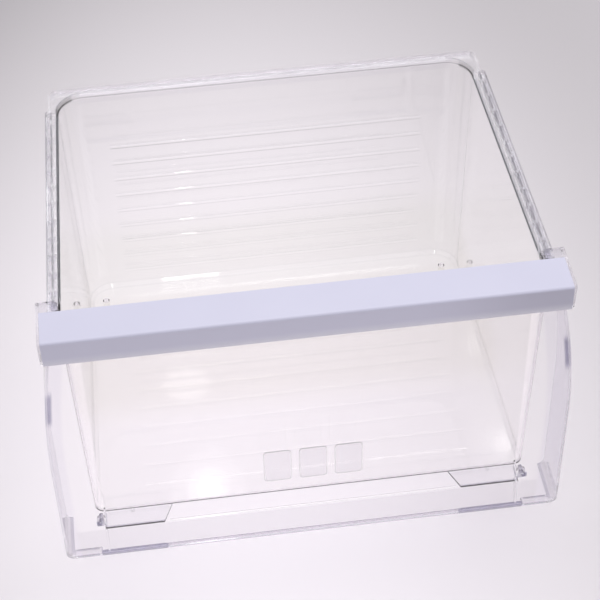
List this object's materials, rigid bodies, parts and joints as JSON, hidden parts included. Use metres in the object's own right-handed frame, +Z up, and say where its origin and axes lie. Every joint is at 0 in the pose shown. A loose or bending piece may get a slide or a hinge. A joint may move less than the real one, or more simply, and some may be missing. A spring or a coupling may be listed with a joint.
{
  "type": "refrigerator crisper drawer",
  "caption": "Clear refrigerator crisper drawer: open tub with ladder-ribbed side rails, clip-on curved front panel and a pale lavender handle trim.",
  "frame": {"origin": "middle of the overall box in plan, on the surface that the drawer stands on", "axes": "+X to the right seen from the front, +Y from the handle to the rear, +Z up"},
  "size_m": [0.49, 0.354, 0.3065],
  "materials": {
    "clear_plastic": "clear polystyrene, polished",
    "panel_plastic": "clear polystyrene, polished",
    "trim_plastic": "opaque, soft gloss"
  },
  "bodies": {
    "root": {"tub": "clear_plastic", "front_panel": "panel_plastic", "handle_trim": "trim_plastic"}
  },
  "joints": []
}
